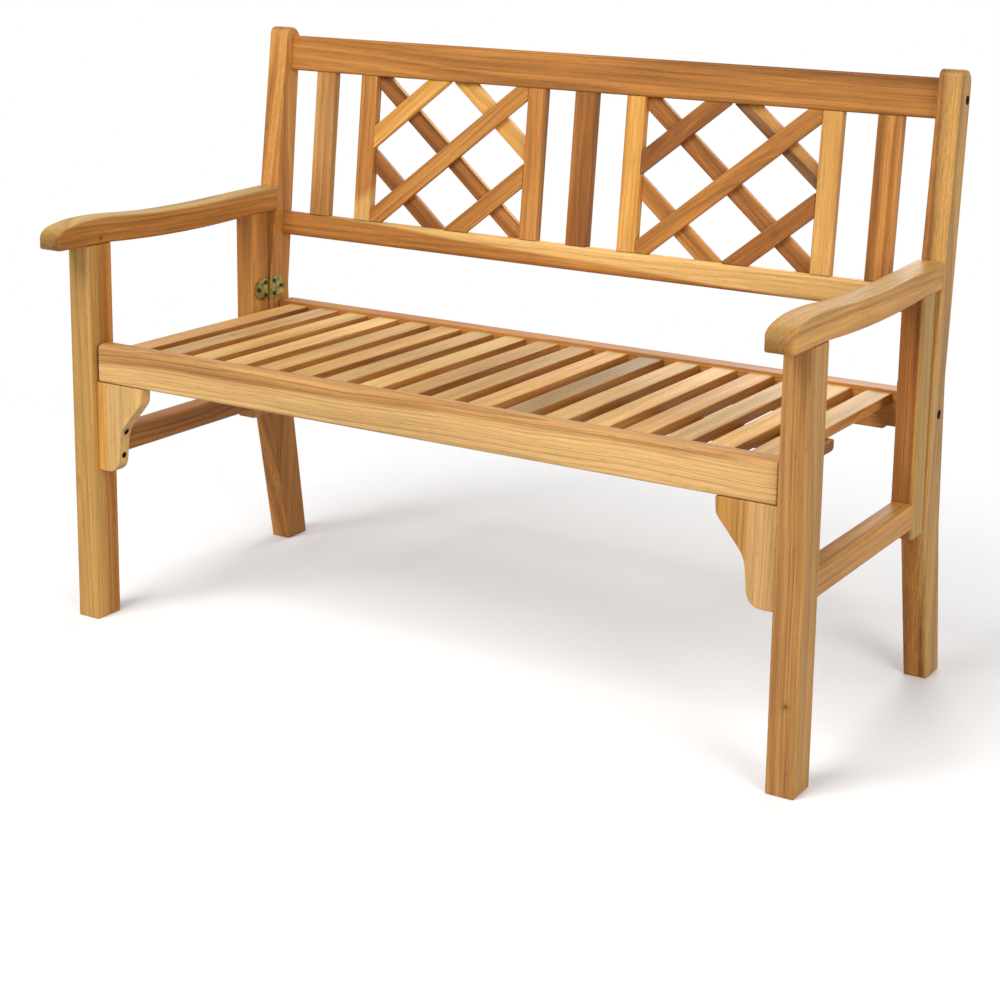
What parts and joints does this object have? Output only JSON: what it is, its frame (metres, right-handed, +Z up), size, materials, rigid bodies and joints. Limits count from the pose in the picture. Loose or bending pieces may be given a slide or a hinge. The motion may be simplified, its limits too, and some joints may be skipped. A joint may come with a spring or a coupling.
{
  "type": "folding bench",
  "caption": "Two-seat wooden garden bench with armrests, a slatted seat that tips up on pins and a back of upright slats and lattice panels.",
  "frame": {"origin": "on the ground, at the middle of the bench's outline", "axes": "+X to the right as seen from the front, +Y from the front to the back, +Z up"},
  "size_m": [1.21, 0.585, 0.886],
  "materials": {
    "oiled_hardwood_light": "sawn, sanded and oiled acacia, satin",
    "oiled_hardwood_mid": "sawn, sanded and oiled acacia, satin",
    "oiled_hardwood_dark": "sawn, sanded and oiled acacia, satin",
    "yellow_zinc_steel": "pressed steel, yellow passivated zinc",
    "zinc_steel": "bright zinc plate",
    "dark_screws": "black phosphate",
    "black_dowel": "moulded black nylon"
  },
  "bodies": {
    "back_frame": {"rear_leg_left": "oiled_hardwood_dark", "rear_leg_right": "oiled_hardwood_mid", "top_rail": "oiled_hardwood_dark", "lower_back_rail": "oiled_hardwood_light", "back_slat_1": "oiled_hardwood_dark", "back_slat_2": "oiled_hardwood_mid", "back_slat_3": "oiled_hardwood_light", "back_slat_4": "oiled_hardwood_dark", "back_slat_5": "oiled_hardwood_light", "back_slat_6": "oiled_hardwood_mid", "back_slat_7": "oiled_hardwood_mid", "lattice_left_rising": "oiled_hardwood_light", "lattice_left_falling": "oiled_hardwood_dark", "lattice_right_rising": "oiled_hardwood_light", "lattice_right_falling": "oiled_hardwood_dark", "front_leg_left": "oiled_hardwood_mid", "front_leg_right": "oiled_hardwood_mid", "rear_post_left": "oiled_hardwood_mid", "rear_post_right": "oiled_hardwood_dark", "armrest_left": "oiled_hardwood_light", "armrest_right": "oiled_hardwood_light", "stretcher_left": "oiled_hardwood_dark", "stretcher_right": "oiled_hardwood_light", "corner_bracket_left": "oiled_hardwood_light", "corner_bracket_right": "oiled_hardwood_light", "hinge_post_leaves": "yellow_zinc_steel", "hinge_leg_leaves": "yellow_zinc_steel", "hinge_pins": "yellow_zinc_steel", "hinge_screws": "dark_screws", "pivot_pins": "zinc_steel", "back_rail_bolts": "zinc_steel", "locating_dowels": "black_dowel", "bracket_screws": "dark_screws", "bolt_housings": "zinc_steel", "bolt_screws": "dark_screws"},
    "seat": {"seat_front_rail": "oiled_hardwood_light", "seat_rear_rail": "oiled_hardwood_mid", "seat_mid_rail": "oiled_hardwood_mid", "seat_slat_1": "oiled_hardwood_dark", "seat_slat_2": "oiled_hardwood_mid", "seat_slat_3": "oiled_hardwood_mid", "seat_slat_4": "oiled_hardwood_mid", "seat_slat_5": "oiled_hardwood_mid", "seat_slat_6": "oiled_hardwood_mid", "seat_slat_7": "oiled_hardwood_dark", "seat_slat_8": "oiled_hardwood_mid", "seat_slat_9": "oiled_hardwood_mid", "seat_slat_10": "oiled_hardwood_mid", "seat_slat_11": "oiled_hardwood_mid", "seat_slat_12": "oiled_hardwood_mid", "seat_slat_13": "oiled_hardwood_mid", "seat_slat_14": "oiled_hardwood_mid", "seat_slat_15": "oiled_hardwood_mid", "seat_slat_16": "oiled_hardwood_mid", "seat_slat_17": "oiled_hardwood_mid", "seat_slat_18": "oiled_hardwood_mid", "seat_screws": "dark_screws", "bolt_keeps": "zinc_steel"},
    "bolt_left": {"bolt_rod_left": "zinc_steel"},
    "bolt_right": {"bolt_rod_right": "zinc_steel"}
  },
  "joints": [
    {"name": "seat_fold", "type": "hinge", "parent": "back_frame", "child": "seat", "pos_m": [0, 0.2295, 0.402], "axis": [-1, 0, 0], "range_deg": [0, 80.3]},
    {"name": "bolt_left_slide", "type": "slide", "parent": "back_frame", "child": "bolt_left", "axis": [0, 0, -1], "range_m": [0, 0.013]},
    {"name": "bolt_right_slide", "type": "slide", "parent": "back_frame", "child": "bolt_right", "axis": [0, 0, -1], "range_m": [0, 0.013]}
  ]
}
